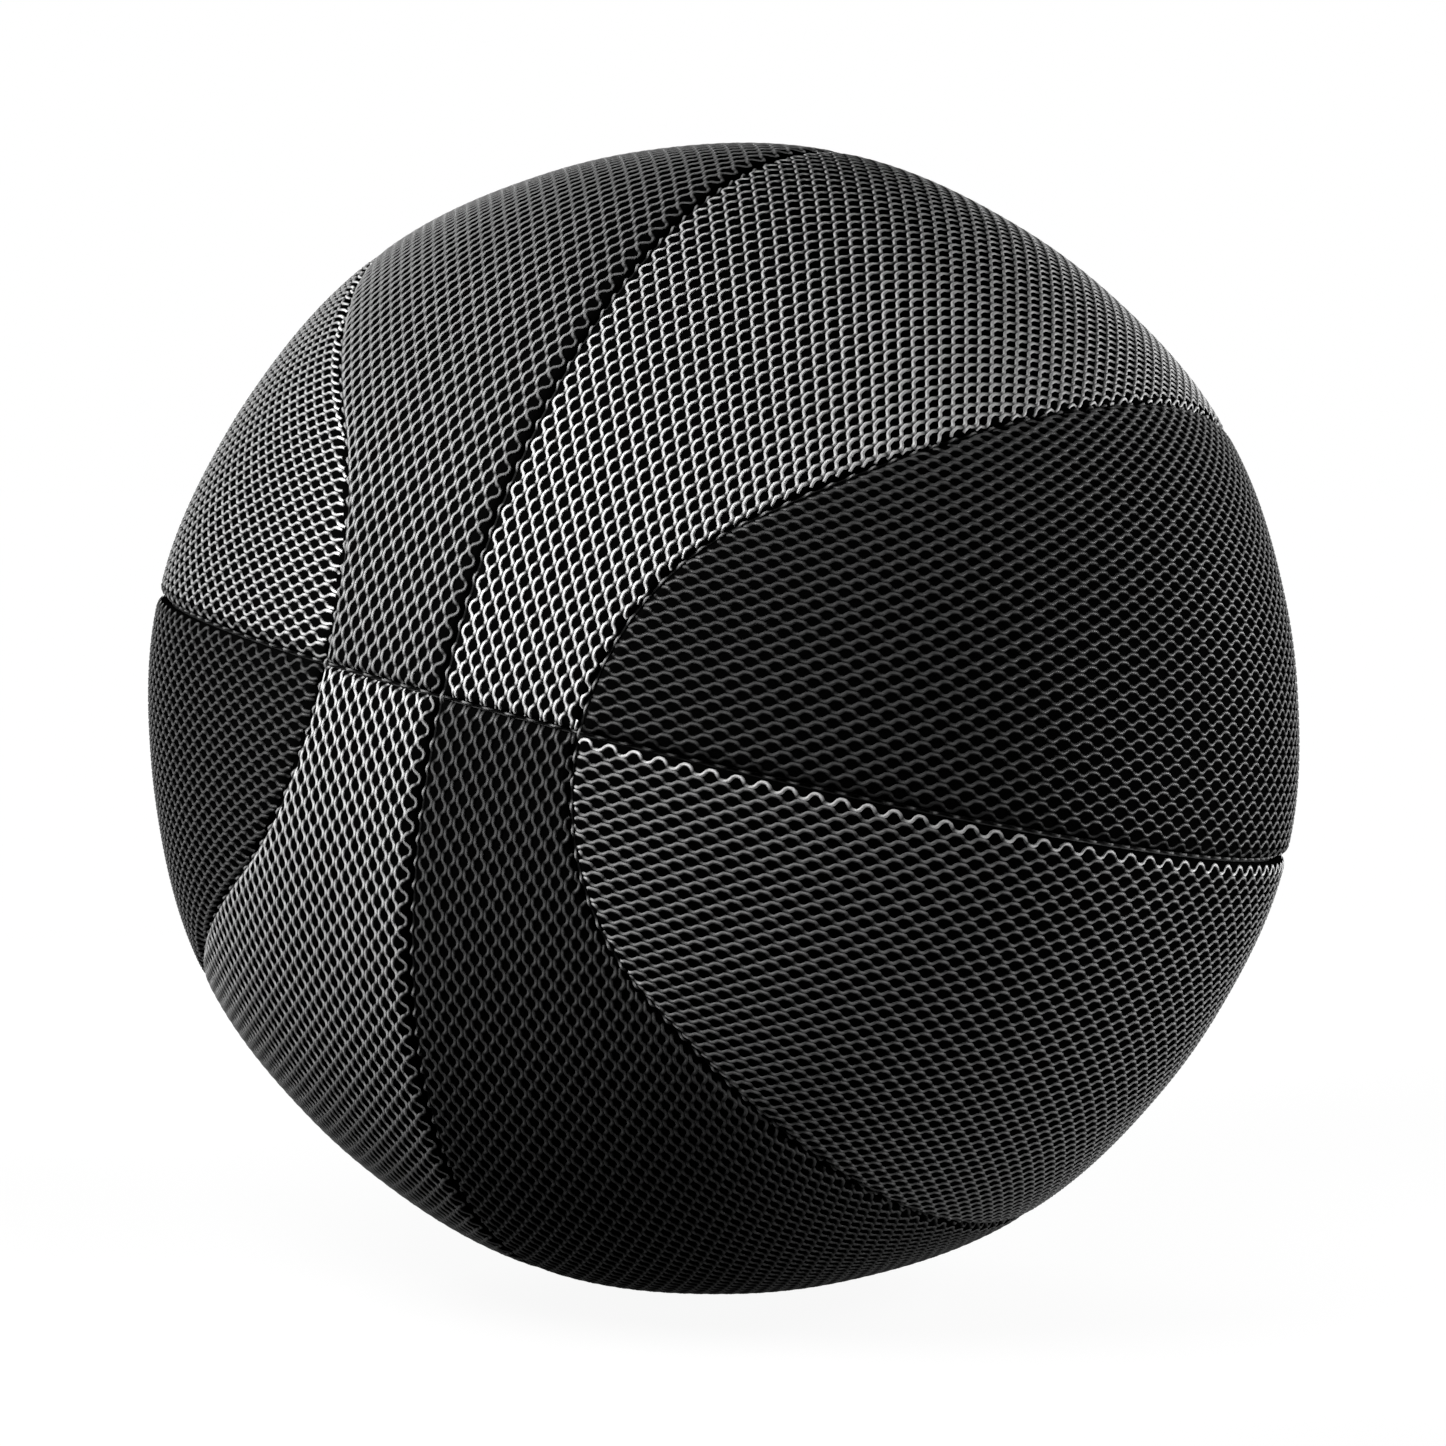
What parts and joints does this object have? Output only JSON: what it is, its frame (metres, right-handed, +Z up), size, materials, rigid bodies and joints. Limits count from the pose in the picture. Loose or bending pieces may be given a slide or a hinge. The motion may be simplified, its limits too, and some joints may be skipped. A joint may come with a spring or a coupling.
{
  "type": "basketball",
  "caption": "Full-size basketball with a sewn cover of knitted mesh panels in two greys, over a rubber carcass, wound bladder and needle valve.",
  "frame": {"origin": "middle of the ball's box, at the flat it rests on", "axes": "+Z up, -Y towards the front crossing of the meridian and equator seams, +X towards the right ears"},
  "size_m": [0.24, 0.24, 0.2395],
  "materials": {
    "mesh_light": "matte polyester mesh",
    "mesh_dark": "matte polyester mesh",
    "backing_cloth": "matte black tricot",
    "sewing_thread": "bonded nylon thread",
    "carcass_rubber": "moulded rubber",
    "winding_yarn": "wound nylon yarn",
    "bladder_rubber": "butyl rubber",
    "valve_rubber": "soft moulded rubber"
  },
  "bodies": {
    "root": {"strip_upper_right": "mesh_light", "strip_upper_left": "mesh_dark", "strip_lower_right": "mesh_dark", "strip_lower_left": "mesh_light", "ear_upper_right": "mesh_dark", "ear_upper_left": "mesh_light", "ear_lower_right": "mesh_light", "ear_lower_left": "mesh_dark", "backing_strip_upper_right": "backing_cloth", "backing_strip_upper_left": "backing_cloth", "backing_strip_lower_right": "backing_cloth", "backing_strip_lower_left": "backing_cloth", "backing_ear_upper_right": "backing_cloth", "backing_ear_upper_left": "backing_cloth", "backing_ear_lower_right": "backing_cloth", "backing_ear_lower_left": "backing_cloth", "thread_meridian": "sewing_thread", "thread_equator": "sewing_thread", "thread_ear_right": "sewing_thread", "thread_ear_left": "sewing_thread", "carcass": "carcass_rubber", "winding": "winding_yarn", "bladder": "bladder_rubber", "valve_body": "valve_rubber", "valve_plug": "valve_rubber", "valve_eyelet": "valve_rubber"}
  },
  "joints": []
}
